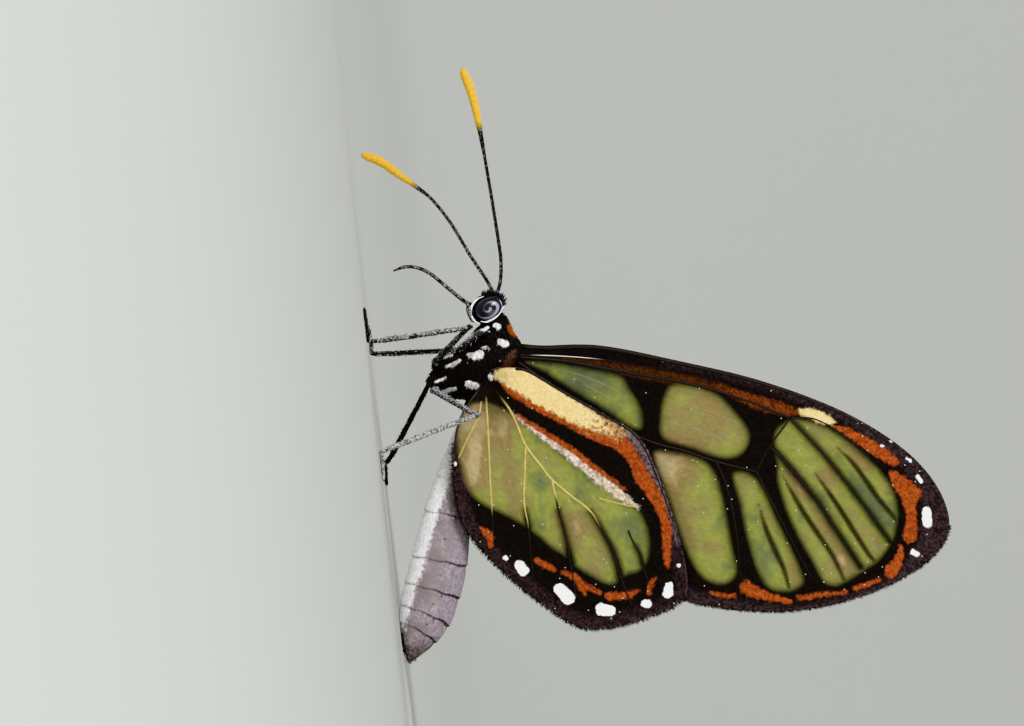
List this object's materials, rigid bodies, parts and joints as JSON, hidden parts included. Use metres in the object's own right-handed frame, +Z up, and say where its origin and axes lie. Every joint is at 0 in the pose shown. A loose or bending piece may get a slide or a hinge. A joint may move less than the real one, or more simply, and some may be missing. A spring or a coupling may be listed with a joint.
{
  "type": "butterfly",
  "caption": "Life-size clearwing butterfly standing with its wings closed upright, feelers forward, as a still museum model.",
  "frame": {"origin": "on the floor under the middle of the butterfly's box", "axes": "+X towards the tip of the abdomen, so the head faces -X; +Z up, towards the wing tips; the left side faces -Y"},
  "size_m": [0.0356, 0.014, 0.034],
  "materials": {
    "black_scales": "black scales with white spots, matt and finely hairy",
    "lilac_scales": "lilac-grey scales, matt",
    "eye_facets": "dark faceted eye, glossy",
    "feeler_scales": "black shaft flecked white, yellow club, matt",
    "clear_membrane": "thin olive-amber membrane with black and orange scaled borders and veins",
    "leg_scales": "black legs with whitish scales, matt"
  },
  "bodies": {
    "root": {"head": "black_scales", "thorax": "black_scales", "abdomen": "lilac_scales", "eye_l": "eye_facets", "eye_r": "eye_facets", "palp_l": "black_scales", "palp_r": "black_scales", "proboscis": "black_scales", "antenna_l": "feeler_scales", "antenna_r": "feeler_scales", "forewing_l": "clear_membrane", "forewing_r": "clear_membrane", "hindwing_l": "clear_membrane", "hindwing_r": "clear_membrane", "foreleg_l": "leg_scales", "foreleg_r": "leg_scales", "midleg_femur_l": "leg_scales", "midleg_femur_r": "leg_scales", "midleg_tibia_l": "leg_scales", "midleg_tibia_r": "leg_scales", "midleg_tarsus_l": "leg_scales", "midleg_tarsus_r": "leg_scales", "hindleg_femur_l": "leg_scales", "hindleg_femur_r": "leg_scales", "hindleg_tibia_l": "leg_scales", "hindleg_tibia_r": "leg_scales", "hindleg_tarsus_l": "leg_scales", "hindleg_tarsus_r": "leg_scales"}
  },
  "joints": []
}
